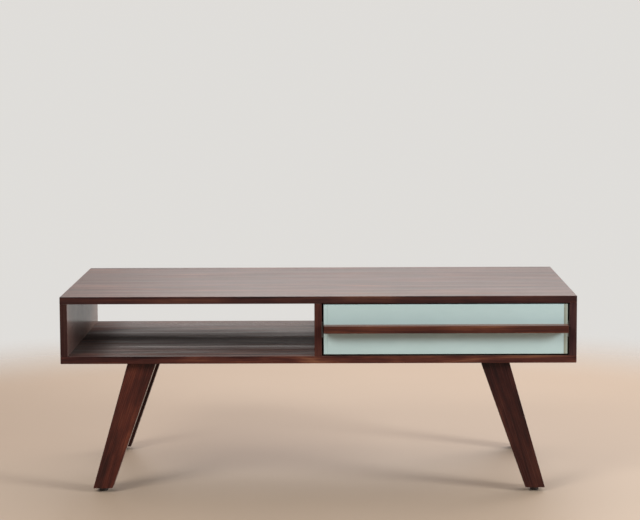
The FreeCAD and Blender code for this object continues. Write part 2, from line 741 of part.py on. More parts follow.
def make_stops():
    """Make two blocks on the bay floor, each with a soft pad just behind the closed drawer."""
    blocks = []
    pads = []
    height = d.box_lift + BOTTOM_TOP + d.stop_reach
    pad_y = BOX_REAR_Y + d.stop_pad_gap
    for share in STOP_SHARES:
        x = BAY_LEFT + BAY_WIDTH * share - d.stop_block_width / 2
        blocks.append(plain_box(
            "stop_block", x, pad_y + d.stop_pad_thickness, BAY_FLOOR_Z,
            d.stop_block_width, d.stop_block_depth, height,
        ))
        pads.append(plain_box(
            "stop_pad", x, pad_y, BAY_FLOOR_Z + d.box_lift,
            d.stop_block_width, d.stop_pad_thickness, height - d.box_lift,
        ))
    return [group("drawer_stop_blocks", blocks), group("drawer_stop_pads", pads)]


# Screws through the drawer front, as distances from the core's lowest left corner
PULL_SCREW_PLACES = [
    (CORE_WIDTH * share, PULL_MID_Z - FRONT_FLOOR_Z) for share in PULL_SCREW_SHARES
]
FRONT_SCREW_PLACES = [
    (BOX_INNER_LEFT - CORE_LEFT + BOX_INNER_WIDTH * x, BOX_FLOOR_Z - FRONT_FLOOR_Z + BOX_HEIGHT * z)
    for x in FRONT_SCREW_SHARES for z in FRONT_SCREW_SHARES
]
FRONT_BITE = d.front_thickness - d.screw_cover
PULL_BITE = d.pull_projection - d.pull_screw_cover
PULL_HEAD_DEPTH = d.screw_head_height + d.screw_head_room


def make_drawer_front():
    core, slab = board(
        "drawer_front", CORE_LEFT, FRONT_FACE_Y, FRONT_FLOOR_Z, CORE_WIDTH, d.front_thickness, FRONT_HEIGHT,
    )
    round_edges(core, slab, d.front_round, runs_along(RIGHT))
    drill(core, "XZ_Plane", 0, PULL_SCREW_PLACES, SCREW_HOLE, d.front_thickness, "+")
    drill(core, "XZ_Plane", d.front_thickness, PULL_SCREW_PLACES, HEAD_HOLE, PULL_HEAD_DEPTH, "-")
    drill(core, "XZ_Plane", d.front_thickness, FRONT_SCREW_PLACES, SCREW_HOLE, FRONT_BITE, "-")
    pieces = [core]
    for side_name, x in (("left", FRONT_LEFT), ("right", CORE_LEFT + CORE_WIDTH)):
        lipping, strip = board(
            f"drawer_front_{side_name}_lipping", x, FRONT_FACE_Y, FRONT_FLOOR_Z,
            d.lipping_width, d.front_thickness, FRONT_HEIGHT,
        )
        round_edges(lipping, strip, d.front_round, lambda edge: not runs_along(FRONT)(edge))
        pieces.append(lipping)
    return pieces


def make_pull():
    floor = PULL_MID_Z - d.pull_height / 2
    pull, bar = board(
        "drawer_pull", FRONT_LEFT, FRONT_FACE_Y - d.pull_projection, floor,
        FRONT_WIDTH, d.pull_projection, d.pull_height,
    )
    back = d.pull_projection.value - d.pull_round.value
    round_edges(pull, bar, d.pull_round, lambda edge: edge.CenterOfMass.y < back)
    holes = [(d.lipping_width + x, d.pull_height / 2) for x, z in PULL_SCREW_PLACES]
    drill(pull, "XZ_Plane", d.pull_projection, holes, SCREW_HOLE, PULL_BITE, "-")

    head_y = BOX_FRONT_Y - PULL_HEAD_DEPTH + d.screw_head_height
    reach = d.front_thickness - PULL_HEAD_DEPTH + PULL_BITE - d.dowel_end_gap
    screws = [
        pan_screw("pull", CORE_LEFT + x, head_y, FRONT_FLOOR_Z + z, FRONT, reach)
        for x, z in PULL_SCREW_PLACES
    ]
    return [pull, group("pull_screws", screws)]


def make_drawer_box():
    groove_z = (d.bottom_rise, BOTTOM_TOP)
    dowel_hole = d.box_dowel_radius + d.dowel_fit

    inner_front, slab = board(
        "drawer_inner_front", BOX_INNER_LEFT, BOX_FRONT_Y, BOX_FLOOR_Z,
        BOX_INNER_WIDTH, d.box_board, BOX_HEIGHT,
    )
    round_edges(inner_front, slab, d.box_round, lambda edge: (
        runs_along(RIGHT)(edge) and edge.CenterOfMass.z > BOX_HEIGHT.value / 2
    ))
    groove = (d.box_board - d.bottom_groove_depth, d.box_board, *groove_z)
    mill(inner_front, "YZ_Plane", 0, groove, BOX_INNER_WIDTH, "+")
    ends = [(d.box_board / 2, z) for z in BOX_DOWEL_HEIGHTS]
    drill(inner_front, "YZ_Plane", 0, ends, dowel_hole, d.box_dowel_bite, "+")
    drill(inner_front, "YZ_Plane", BOX_INNER_WIDTH, ends, dowel_hole, d.box_dowel_bite, "-")
    screw_holes = [
        (BOX_INNER_WIDTH * x, BOX_HEIGHT * z) for x in FRONT_SCREW_SHARES for z in FRONT_SCREW_SHARES
    ]
    drill(inner_front, "XZ_Plane", 0, screw_holes, SCREW_HOLE, d.box_board, "+")

    sides = []
    through = [(y, z) for y in (d.box_board / 2, BOX_DEPTH - d.box_board / 2) for z in BOX_DOWEL_HEIGHTS]
    for label, x, groove_x, outer, inward in (
        ("drawer_left_side", BOX_LEFT, (d.box_board - d.bottom_groove_depth, d.box_board), 0, "+"),
        ("drawer_right_side", BOX_RIGHT - d.box_board, (0, d.bottom_groove_depth), d.box_board, "-"),
    ):
        side, slab = board(label, x, BOX_FRONT_Y, BOX_FLOOR_Z, d.box_board, BOX_DEPTH, BOX_HEIGHT)
        round_edges(side, slab, d.box_round, lambda edge: (
            runs_along(FRONT)(edge) and edge.CenterOfMass.z > BOX_HEIGHT.value / 2
        ))
        mill(side, "XZ_Plane", 0, (*groove_x, *groove_z), BOX_DEPTH, "+")
        drill(side, "YZ_Plane", 0, through, dowel_hole, d.box_board, "+")
        drill(side, "YZ_Plane", outer, SIDE_RAIL_SCREWS, SCREW_HOLE, SIDE_SCREW_DEPTH, inward)
        sides.append(side)

    back, slab = board(
        "drawer_back", BOX_INNER_LEFT, BOX_REAR_Y - d.box_board, BOX_FLOOR_Z + BOTTOM_TOP,
        BOX_INNER_WIDTH, d.box_board, BACK_HEIGHT,
    )
    round_edges(back, slab, d.box_round, lambda edge: (
        runs_along(RIGHT)(edge) and edge.CenterOfMass.z > BACK_HEIGHT.value / 2
    ))
    ends = [(d.box_board / 2, z - BOTTOM_TOP) for z in BOX_DOWEL_HEIGHTS]
    drill(back, "YZ_Plane", 0, ends, dowel_hole, d.box_dowel_bite, "+")
    drill(back, "YZ_Plane", BOX_INNER_WIDTH, ends, dowel_hole, d.box_dowel_bite, "-")
    bottom_screws = [(BOX_INNER_WIDTH * share, d.box_board / 2) for share in BOTTOM_SCREW_SHARES]
    drill(back, "XY_Plane", 0, bottom_screws, SCREW_HOLE, d.bottom_screw_bite, "+")

    tongue = d.bottom_groove_depth - d.groove_fit
    bottom_y = BOX_FRONT_Y + d.box_board - tongue
    bottom, slab = board(
        "drawer_bottom", BOX_INNER_LEFT - tongue, bottom_y, BOX_FLOOR_Z + d.bottom_rise,
        BOX_INNER_WIDTH + tongue * 2, BOX_REAR_Y - bottom_y, d.bottom_thickness,
    )
    holes = [
        (tongue + BOX_INNER_WIDTH * share, BOX_REAR_Y - bottom_y - d.box_board / 2)
        for share in BOTTOM_SCREW_SHARES
    ]
    drill(bottom, "XY_Plane", 0, holes, SCREW_HOLE, d.bottom_thickness, "+")
    return [inner_front, *sides, back, bottom]


def make_drawer_fixings():
    length = d.box_board + d.box_dowel_bite - d.dowel_end_gap
    dowels = []
    for x, direction in ((BOX_LEFT, RIGHT), (BOX_RIGHT, LEFT)):
        for y in (BOX_FRONT_Y + d.box_board / 2, BOX_REAR_Y - d.box_board / 2):
            for z in BOX_DOWEL_HEIGHTS:
                dowels.append(peg("corner", x, y, BOX_FLOOR_Z + z, d.box_dowel_radius, length, direction))

    head_y = BOX_FRONT_Y + d.box_board + d.screw_head_height
    reach = d.box_board + FRONT_BITE - d.dowel_end_gap
    front_screws = [
        pan_screw("front", CORE_LEFT + x, head_y, FRONT_FLOOR_Z + z, FRONT, reach)
        for x, z in FRONT_SCREW_PLACES
    ]

    head_z = BOX_FLOOR_Z + d.bottom_rise - d.screw_head_height
    reach = d.bottom_thickness + d.groove_fit + d.bottom_screw_bite - d.dowel_end_gap
    back_mid = BOX_REAR_Y - d.box_board / 2
    bottom_screws = [
        pan_screw("bottom", BOX_INNER_LEFT + BOX_INNER_WIDTH * share, back_mid, head_z, UP, reach)
        for share in BOTTOM_SCREW_SHARES
    ]
    return [
        group("drawer_corner_dowels", dowels),
        group("front_fixing_screws", front_screws),
        group("drawer_bottom_screws", bottom_screws),
    ]


def check_document():
    """Stop if any object failed, or if a cut took nothing away."""
    for thing in doc.Objects:
        if {"Invalid", "Error"} & set(thing.State):
            raise RuntimeError(f"{thing.Name} failed: {thing.State}")
        if thing.TypeId in ("PartDesign::Pocket", "PartDesign::SubtractiveCone"):
            if thing.Shape.Volume >= thing.BaseFeature.Shape.Volume:
                raise RuntimeError(f"{thing.Name} cuts nothing")


def main():
    nodes = []
    for make in (
        make_top_board, make_bottom_board, make_panels, make_bay_back, make_carcass_dowels,
        make_legs, make_leg_fixings, make_slides, make_ball_cages, make_stops,
        make_drawer_front, make_pull, make_drawer_box, make_drawer_fixings,
    ):
        nodes += make()
    doc.recompute()
    check_document()
    for node in nodes:
        if node.Shape.isNull() or not node.Shape.isValid():
            raise RuntimeError(f"{node.Label} has no valid shape")
    os.makedirs("parts", exist_ok=True)
    for node in nodes:
        node.Shape.exportStep(f"parts/{node.Label}.step")
        print(node.Label, len(node.Shape.Solids), round(node.Shape.Volume))


main()
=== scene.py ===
"""Finishes, studio light and camera for a low coffee table with one painted drawer."""

import json
import math
from typing import NamedTuple

import bmesh
import bpy
from mathutils import Matrix, Vector


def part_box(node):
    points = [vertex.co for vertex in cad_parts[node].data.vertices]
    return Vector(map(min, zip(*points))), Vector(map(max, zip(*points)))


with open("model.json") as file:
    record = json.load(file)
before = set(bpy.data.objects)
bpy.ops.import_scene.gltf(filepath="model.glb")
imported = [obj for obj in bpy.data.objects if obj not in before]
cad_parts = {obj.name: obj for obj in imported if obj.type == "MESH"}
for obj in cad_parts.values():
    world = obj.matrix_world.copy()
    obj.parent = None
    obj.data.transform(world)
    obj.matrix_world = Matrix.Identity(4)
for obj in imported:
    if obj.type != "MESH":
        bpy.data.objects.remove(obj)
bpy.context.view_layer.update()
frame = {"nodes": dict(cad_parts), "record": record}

ALONG_X = Vector((1, 0, 0))
ALONG_Y = Vector((0, 1, 0))
ALONG_Z = Vector((0, 0, 1))

# Camera, as fitted to the corners of the table in the photograph (640 by 520 pixels)
IMAGE_WIDTH = 640
FOCAL_LENGTH_PIXELS = 2032
SENSOR_WIDTH = 36
CAMERA_PLACE = Vector((0.04827, -4.95559, 1.06276))
CAMERA_YAW = math.radians(-0.529)
CAMERA_PITCH = math.radians(6.254)
CAMERA_ROLL = math.radians(-0.247)
MATRIX_SIZE = 4

# Dome of light: pale behind the table, warmer above, dim in front and like the floor below.
# Its parts blend between two heights or two depths of a direction, which run from -1 to 1.
LEVEL_LIGHT = (0.74, 0.725, 0.70)
HIGH_LIGHT = (0.78, 0.71, 0.68)
FRONT_LIGHT = (0.26, 0.255, 0.25)
LOW_LIGHT = (0.42, 0.325, 0.245)
LEVEL_TO_HIGH = (0.0, 0.12)
FRONT_TO_BACK = (-0.9, 0.6)
LOW_TO_LEVEL = (-0.40, -0.24)


class Lamp(NamedTuple):
    """One softbox: its place, its width and height in metres, its power in watts and its colour."""
    place: Vector
    width: float
    height: float
    power: float
    colour: tuple


LAMP_TARGET = Vector((0, 0, 0.35))
LAMPS = {
    "left_softbox": Lamp(Vector((-2.0, -2.6, 2.4)), 1.3, 1.3, 73, (1.0, 0.99, 0.96)),
    "right_softbox": Lamp(Vector((3.4, -2.0, 1.7)), 1.2, 1.2, 125, (0.96, 1.0, 1.02)),
    "back_softbox": Lamp(Vector((1.0, 2.6, 2.2)), 4.0, 1.2, 76, (1.0, 0.94, 0.91)),
}


class Layer(NamedTuple):
    """One layer of noise: its features in a metre along three directions, its octaves,
    and how strong each octave is against the one before."""
    scale: tuple
    detail: float
    roughness: float


# The middle between 0 and 1, from which noise and chances are measured, and the two values of noise
# between which soft clouds turn from one colour to another
MIDDLE = 0.5
CLOUD_EDGES = (0.3, 0.7)

# Floor: a plain pale disc with faint clouds, which fades into the dome between two distances
FLOOR_COLOUR = (0.43, 0.332, 0.247)
FLOOR_CLOUD = Layer((2.0, 2.0, 2.0), 3.0, 0.5)
FLOOR_CLOUD_GAIN = 1.03
FLOOR_ROUGHNESS = 0.6
FLOOR_RADIUS = 2.6
FLOOR_SEGMENTS = 96
FLOOR_FADE = (1.5, 2.5)

# Figure of wood: layers of noise along the grain, across it and into the board, and its rings
SWAY = Layer((1.2, 7.0, 7.0), 2.0, 0.5)
FIBRES = Layer((9.0, 520.0, 520.0), 3.0, 0.6)
PORES = Layer((70.0, 1900.0, 1900.0), 1.0, 0.5)
BANDS = Layer((1.8, 22.0, 22.0), 4.0, 0.65)
CLOUDS = Layer((7.0, 24.0, 24.0), 3.0, 0.55)
PORE_EDGES = (0.60, 0.72)
RING_DETAIL = 3.0
RING_ROUGHNESS = 0.6
SWAY_TONE_SHARE = 0.30

# Pith of a stave: over what width its place varies, how deep it lies, and how far it wanders, in metres
PITH_SPREAD = 0.17
PITH_DEPTH = 0.055
PITH_SWAY_ACROSS = 0.08
PITH_SWAY_DEEP = 0.06

# Shifts that give each cut, and each stave in it, its own stretch of wood: in metres, staves and rings.
# The sway's shift is up to nine of its features, at seven to a metre.
CUT_START = 2.0
CUT_SIDE_STEP = 0.037
CUT_GRAIN_STEP = 3.1
CUT_STAVE_STEP = 17.0
STAVE_GRAIN_SHIFT = 7.0
STAVE_SWAY_SHIFT = 9 / 7
STAVE_RING_SHIFT = 40.0

# Surface of wood: how squarely a face lies to count as an end or an edge, what adds to its roughness,
# and its relief, with the depth in metres
FACING_EDGES = (0.75, 0.95)
FIBRE_ROUGHNESS = 0.16
PORE_ROUGHNESS = 0.08
END_ROUGHNESS = 0.12
HAZE_ROUGHNESS = 0.4
FIBRE_RELIEF = 0.35
PORE_RELIEF = 0.65
WOOD_RELIEF_DEPTH = 0.00025
WOOD_RELIEF_STRENGTH = 0.35

# Where the shelf's polish has gone: all but a strip along its rear edge, less in front than behind, and most
# in a band near its middle and by its ends. Distances are from the middle of the board, in metres.
REAR_POLISH_EDGES = (0.176, 0.246)
FRONT_TO_REAR = (-0.16, 0.0)
DULL_BAND_PLACE = -0.030
DULL_BAND_EDGES = (0.02, 0.115)
DULL_END_EDGES = (0.47, 0.57)
FRONT_DULL_SHARE = 0.30
REAR_DULL_SHARE = 0.54
BAND_DULL_SHARE = 0.50
END_DULL_SHARE = 1.0


class Wood(NamedTuple):
    """One kind of wood: its tones from dark to light, the widths of its staves and rings in metres,
    how much each part of its figure shows, how dark its ends and edges are (on the pull, how much
    lighter its top and bottom faces are: a painted highlight), its polish and its haze, how much it
    lightens in a metre of grain, and how much duller it is where a shelf's polish has gone."""
    tones: tuple
    stave_width: float
    ring_width: float
    ring_share: float
    fibre_share: float
    stave_share: float
    band_share: float
    cloud_share: float
    pore_depth: float
    end_shade: float
    edge_shade: float
    roughness: float
    band_polish: float
    ior: float
    haze: float
    haze_tint: tuple = (1.0, 0.80, 0.70)
    fade: float = 0.0
    dullness: float = 0.0

    def stained(self, red, green, blue):
        """The same wood with its red, green and blue multiplied by these shares."""
        return self._replace(tones=tuple(
            (place, (colour[0] * red, colour[1] * green, colour[2] * blue)) for place, colour in self.tones
        ))


ROSEWOOD = Wood(
    tones=(
        (0.16, (0.0090, 0.0036, 0.0032)),
        (0.36, (0.0260, 0.0070, 0.0052)),
        (0.52, (0.0470, 0.0115, 0.0074)),
        (0.68, (0.0760, 0.0205, 0.0110)),
        (0.88, (0.1350, 0.0450, 0.0215)),
    ),
    stave_width=0.104, ring_width=0.012, ring_share=0.90, fibre_share=0.60, stave_share=0.16,
    band_share=0.20, cloud_share=0.90, pore_depth=0.45, end_shade=0.55, edge_shade=0.90,
    roughness=0.46, band_polish=0.22, ior=1.30, haze=0.08, fade=0.08,
)
TOP_ROSEWOOD = ROSEWOOD.stained(0.88, 0.96, 1.20)._replace(edge_shade=0.80, fade=0.0)
SHELF_ROSEWOOD = ROSEWOOD.stained(1.60, 2.00, 2.30)._replace(
    band_share=0.50, roughness=0.29, band_polish=0.90, ior=1.15, haze=0.07, fade=0.12, dullness=0.25,
)
PANEL_ROSEWOOD = ROSEWOOD._replace(
    ring_share=0.30, cloud_share=0.60, edge_shade=1.0, roughness=0.18, band_polish=0.24, ior=1.15,
    haze=0.25, fade=0.0,
)
LEFT_PANEL_ROSEWOOD = PANEL_ROSEWOOD.stained(1.00, 1.48, 2.30)._replace(
    edge_shade=0.47, ior=1.14, haze=0.45, haze_tint=(1.0, 0.74, 0.63),
)
RIGHT_PANEL_ROSEWOOD = PANEL_ROSEWOOD.stained(0.84, 1.42, 2.25)
DIVIDER_ROSEWOOD = PANEL_ROSEWOOD.stained(0.96, 1.20, 1.60)
# The pull's top and bottom faces are made much lighter than its front: a painted highlight along its top.
PULL_ROSEWOOD = ROSEWOOD.stained(1.59, 2.05, 2.15)._replace(
    ring_share=0.60, cloud_share=0.45, edge_shade=1.7, roughness=0.26, ior=1.15,
)
LEG_ROSEWOOD = ROSEWOOD._replace(
    stave_width=0.5, ring_share=0.28, fibre_share=0.50, cloud_share=1.30, edge_shade=1.0,
    roughness=0.26, band_polish=0.10,
)
BIRCH = Wood(
    tones=(
        (0.22, (0.33, 0.200, 0.105)),
        (0.45, (0.47, 0.315, 0.180)),
        (0.60, (0.54, 0.380, 0.230)),
        (0.80, (0.60, 0.440, 0.285)),
    ),
    stave_width=0.140, ring_width=0.012, ring_share=0.50, fibre_share=0.40, stave_share=0.10,
    band_share=0.20, cloud_share=0.10, pore_depth=0.20, end_shade=0.72, edge_shade=1.0,
    roughness=0.52, band_polish=0.20, ior=1.45, haze=0.0,
)
BEECH = BIRCH._replace(stave_width=0.5, ring_width=0.004)

# Legs: each one's stain, how much it lightens in a metre of grain from its top to its foot (painted shade
# on the top of the leg, under the carcass), and its cut
LEGS = {
    "front_left_leg": ((1.38, 1.26, 1.28), 0.0, 125),
    "front_right_leg": ((0.65, 0.65, 0.84), 0.6, 57),
    "rear_left_leg": ((0.70, 0.63, 0.66), 0.2, 8),
    "rear_right_leg": ((0.80, 0.72, 0.75), 0.5, 9),
}

# A leg's top and foot are the corners within this height of its ends, in metres
LEG_END_HEIGHT = 0.012

# Satin paint: its shades, and what clouds, lifted grain and the spray's peel add to its shade,
# its roughness and its relief
DUCK_EGG = ((0.416, 0.534, 0.526), (0.438, 0.556, 0.549))
WORN_STONE = ((0.230, 0.235, 0.180), (0.270, 0.295, 0.240), (0.330, 0.370, 0.315))
PAINT_CLOUD = Layer((7.0, 7.0, 9.0), 3.0, 0.55)
PAINT_GRAIN = Layer((5.0, 260.0, 260.0), 3.0, 0.6)
PAINT_PEEL = Layer((720.0, 720.0, 720.0), 1.0, 0.5)
PAINT_SHADE = 0.955
PAINT_CLOUD_SHADE = 0.05
PAINT_GRAIN_SHADE = 0.035
PAINT_STRIP_SHARE = 0.85
PAINT_ROUGHNESS = 0.34
PAINT_CLOUD_ROUGHNESS = 0.10
PAINT_PEEL_ROUGHNESS = 0.06
PAINT_IOR = 1.45
PAINT_PEEL_RELIEF = 0.6
PAINT_GRAIN_RELIEF = 0.4
PAINT_RELIEF_DEPTH = 0.00012
PAINT_RELIEF_STRENGTH = 0.30

# Taken off the roughness of metal, plastic and rubber before noise adds its part
ROUGHNESS_OFFSET = 0.08


class Metal(NamedTuple):
    """One metal: its material's name, its colour, its roughness,
    and its streaks in a metre along X, Y and Z."""
    name: str
    colour: tuple
    roughness: float
    streaks: tuple


METALS = {
    "zinc_steel": Metal("zinc_plate", (0.62, 0.63, 0.65), 0.34, (420.0, 6.0, 420.0)),
    "bearing_steel": Metal("bearing_steel", (0.72, 0.73, 0.75), 0.14, (300.0, 300.0, 300.0)),
    "brass": Metal("turned_brass", (0.71, 0.53, 0.24), 0.28, (60.0, 60.0, 900.0)),
}

# What streaks and mottling add to a metal's shade and roughness, and the relief of the streaks
METAL_MOTTLE = Layer((90.0, 90.0, 90.0), 3.0, 0.6)
METAL_SHADE = 0.80
METAL_STREAK_SHADE = 0.22
METAL_MOTTLE_SHADE = 0.16
METAL_MOTTLE_GAIN = 0.92
METAL_STREAK_ROUGHNESS = 0.14
METAL_MOTTLE_ROUGHNESS = 0.08
METAL_RELIEF_DEPTH = 0.00005
METAL_RELIEF_STRENGTH = 0.25


class Moulding(NamedTuple):
    """One moulded plastic or rubber: its material's name, its colour, its roughness and its fine texture."""
    name: str
    colour: tuple
    roughness: float
    grit: Layer


MOULDINGS = {
    "glide_plastic": Moulding("glide_nylon", (0.022, 0.013, 0.011), 0.46, Layer((2600.0,) * 3, 2.0, 0.6)),
    "stop_rubber": Moulding("stop_rubber", (0.022, 0.022, 0.023), 0.74, Layer((1500.0,) * 3, 2.0, 0.6)),
}

# How dust lightens a moulding, and what its fine texture adds to its shade, roughness and relief
DUST = Layer((160.0, 160.0, 160.0), 3.0, 0.6)
DUST_EDGES = (0.42, 0.72)
DUST_SHARE = 0.8
DUST_GAIN = 2.2
DUST_LIGHT = 0.006
GRIT_SHARE = 0.2
GRIT_ROUGHNESS = 0.16
GRIT_RELIEF_DEPTH = 0.00010
GRIT_RELIEF_STRENGTH = 0.4

# Places of the colour sockets on a Mix node, where names repeat for each kind of value
MIX_SHARE = 0
MIX_FIRST_COLOUR = 6
MIX_SECOND_COLOUR = 7
MIX_RESULT_COLOUR = 2


class Field:
    """A value that varies over a surface or the dome: one output of a node, so that sums read as sums."""

    def __init__(self, tree, socket):
        self.tree = tree
        self.socket = socket

    def calculate(self, operation, *others):
        node = add_node(self.tree, "ShaderNodeMath", operation=operation)
        for target, value in zip(node.inputs, (self, *others)):
            feed(target, value)
        return Field(self.tree, node.outputs["Value"])

    def __add__(self, other):
        return self.calculate("ADD", other)

    def __sub__(self, other):
        return self.calculate("SUBTRACT", other)

    def __mul__(self, other):
        return self.calculate("MULTIPLY", other)

    def __truediv__(self, other):
        return self.calculate("DIVIDE", other)

    def size(self):
        """This number without its sign."""
        return self.calculate("ABSOLUTE")

    def centred(self):
        """Noise, measured from its middle."""
        return self - MIDDLE

    def dimming(self, share):
        """A shade that is 1 where this is 0, and share where this is 1."""
        return self * (share - 1.0) + 1.0

    def vector(self, operation, other, output="Vector"):
        node = add_node(self.tree, "ShaderNodeVectorMath", operation=operation)
        feed(node.inputs[0], self)
        feed(node.inputs[1], other)
        return Field(self.tree, node.outputs[output])

    def along(self, direction):
        """How far this place lies along a direction."""
        return self.vector("DOT_PRODUCT", direction, "Value")

    def parts(self):
        node = add_node(self.tree, "ShaderNodeSeparateXYZ")
        feed(node.inputs[0], self)
        return [Field(self.tree, output) for output in node.outputs]

    def fit(self, low, high, new_low=0.0, new_high=1.0):
        """A smooth step from new_low, where this is low, to new_high, where it is high."""
        node = add_node(self.tree, "ShaderNodeMapRange", interpolation_type="SMOOTHSTEP")
        feed_all(node, {
            "Value": self, "From Min": low, "From Max": high, "To Min": new_low, "To Max": new_high,
        })
        return Field(self.tree, node.outputs["Result"])

    def colours(self, places, shades):
        """Colours that run from shade to shade, each at its place between 0 and 1."""
        node = add_node(self.tree, "ShaderNodeValToRGB")
        feed(node.inputs["Fac"], self)
        elements = node.color_ramp.elements
        while len(elements) < len(shades):
            elements.new(1.0)
        for element, place, shade in zip(elements, places, shades):
            element.position = place
            element.color = (*shade, 1.0)
        return Field(self.tree, node.outputs["Color"])

    def mixed(self, other, how, share=1.0):
        """This colour, mixed with another in the given way."""
        node = add_node(self.tree, "ShaderNodeMix", data_type="RGBA", blend_type=how)
        feed(node.inputs[MIX_SHARE], share)
        feed(node.inputs[MIX_FIRST_COLOUR], self)
        feed(node.inputs[MIX_SECOND_COLOUR], other)
        return Field(self.tree, node.outputs[MIX_RESULT_COLOUR])

    def tinted(self, shade):
        """This colour, with each channel multiplied by the number shade."""
        return self.mixed(shade, "MULTIPLY")


def feed(target, value):
    """Link a field to a socket, or set a plain value on it."""
    if isinstance(value, Field):
        value.tree.links.new(value.socket, target)
    else:
        target.default_value = value


def feed_all(node, values):
    for name, value in values.items():
        feed(node.inputs[name], value)


def add_node(tree, kind, **settings):
    node = tree.nodes.new(kind)
    for name, value in settings.items():
        setattr(node, name, value)
    return node


def join(x, y, z):
    node = add_node(x.tree, "ShaderNodeCombineXYZ")
    for target, value in zip(node.inputs, (x, y, z)):
        feed(target, value)
    return Field(x.tree, node.outputs["Vector"])


def noise(place, layer, output="Fac"):
    """A layer of noise at a place in metres."""
    node = add_node(place.tree, "ShaderNodeTexNoise")
    scaled = place.vector("MULTIPLY", layer.scale)
    feed_all(node, {"Vector": scaled, "Scale": 1.0, "Detail": layer.detail, "Roughness": layer.roughness})
    return Field(place.tree, node.outputs[output])


def line_noise(number, detail, roughness):
    """Noise that depends on one number."""
    node = add_node(number.tree, "ShaderNodeTexNoise", noise_dimensions="1D")
    feed_all(node, {"W": number, "Scale": 1.0, "Detail": detail, "Roughness": roughness})
    return Field(number.tree, node.outputs["Fac"])


def chances(number):
    """Three shares between 0 and 1 that depend on a whole number alone."""
    node = add_node(number.tree, "ShaderNodeTexWhiteNoise", noise_dimensions="1D")
    feed(node.inputs["W"], number)
    return Field(number.tree, node.outputs["Color"]).parts()


def new_material(name):
    """A new material with its shader and the surface's place in metres."""
    material = bpy.data.materials.new(name)
    material.use_nodes = True
    tree = material.node_tree
    shader = tree.nodes["Principled BSDF"]
    place = Field(tree, add_node(tree, "ShaderNodeTexCoord").outputs["Object"])
    return material, shader, place


def set_bump(shader, height, depth, strength):
    node = add_node(height.tree, "ShaderNodeBump")
    feed_all(node, {"Strength": strength, "Distance": depth, "Height": height})
    feed(shader.inputs["Normal"], Field(height.tree, node.outputs["Normal"]))


def facing(tree, direction):
    """How squarely the surface faces along a direction, either way."""
    normal = Field(tree, add_node(tree, "ShaderNodeNewGeometry").outputs["Normal"])
    return normal.along(direction).size()


def dull_part(own, grain, sideways):
    """How far a shelf's polish has gone, from its place measured from the middle of the board."""
    depth = own.along(sideways)
    inner = depth.fit(*FRONT_TO_REAR, FRONT_DULL_SHARE, REAR_DULL_SHARE)
    inner = inner * depth.fit(*REAR_POLISH_EDGES, 1.0, 0.0)
    band = (depth - DULL_BAND_PLACE).size().fit(*DULL_BAND_EDGES, BAND_DULL_SHARE, 0.0)
    ends = own.along(grain).size().fit(*DULL_END_EDGES, 0.0, END_DULL_SHARE)
    return inner + band + ends


def wood_material(name, wood, centre, grain, deep, cut):
    """Solid wood glued up from staves: rings round a wandering pith, fibres and fine pores along the grain.
    The cut is a whole number that picks another stretch of the wood for each piece."""
    material, shader, place = new_material(name)
    own = place.vector("SUBTRACT", centre)
    sideways = deep.cross(grain)
    across = own.along(sideways) + (CUT_START + cut * CUT_SIDE_STEP)
    stave = (across / wood.stave_width).calculate("FLOOR")
    inside = across - (stave + MIDDLE) * wood.stave_width
    first, second, third = chances(stave + cut * CUT_STAVE_STEP)
    along = own.along(grain) + first * STAVE_GRAIN_SHIFT + cut * CUT_GRAIN_STEP
    depth = own.along(deep)

    sway = noise(join(along, inside + second * STAVE_SWAY_SHIFT, depth), SWAY, "Color")
    sway_across, sway_deep, sway_tone = sway.parts()
    ring_across = inside + second.centred() * PITH_SPREAD + sway_across.centred() * PITH_SWAY_ACROSS
    ring_deep = depth + PITH_DEPTH + sway_deep.centred() * PITH_SWAY_DEEP
    radius = (ring_across * ring_across + ring_deep * ring_deep).calculate("SQRT")
    rings = line_noise(radius / wood.ring_width + third * STAVE_RING_SHIFT, RING_DETAIL, RING_ROUGHNESS)
    in_stave = join(along, inside, depth)
    fibres = noise(in_stave, FIBRES)
    pores = noise(in_stave, PORES).fit(*PORE_EDGES)
    in_board = join(along, across, depth)
    bands = noise(in_board, BANDS)
    clouds = noise(in_board, CLOUDS)

    # Along the grain the tone lightens by the fade; on the legs this paints shade on their tops under the
    # carcass.
    tone = (
        rings.centred() * wood.ring_share + fibres.centred() * wood.fibre_share
        + sway_tone.centred() * SWAY_TONE_SHARE + bands.centred() * wood.band_share
        + clouds.centred() * wood.cloud_share + first.centred() * wood.stave_share
        + own.along(grain) * wood.fade + MIDDLE
    )
    ends = facing(place.tree, grain).fit(*FACING_EDGES)
    edges = facing(place.tree, sideways).fit(*FACING_EDGES)
    # The edge factor darkens side-grain edges; on the pull it lightens the top and bottom faces, a painted
    # highlight.
    shade = pores.dimming(1.0 - wood.pore_depth) * ends.dimming(wood.end_shade)
    shade = shade * edges.dimming(wood.edge_shade)
    rough = (
        bands.centred() * wood.band_polish + fibres.centred() * FIBRE_ROUGHNESS
        + pores * PORE_ROUGHNESS + ends * END_ROUGHNESS
    )
    if wood.dullness:
        rough = rough + dull_part(own, grain, sideways) * wood.dullness
    feed_all(shader, {
        "Base Color": tone.colours(*zip(*wood.tones)).tinted(shade),
        "Roughness": rough + wood.roughness,
        "IOR": wood.ior,
        "Sheen Weight": wood.haze,
        "Sheen Roughness": HAZE_ROUGHNESS,
        "Sheen Tint": (*wood.haze_tint, 1.0),
    })
    relief = fibres * FIBRE_RELIEF - pores * PORE_RELIEF
    set_bump(shader, relief, WOOD_RELIEF_DEPTH, WOOD_RELIEF_STRENGTH)
    return material


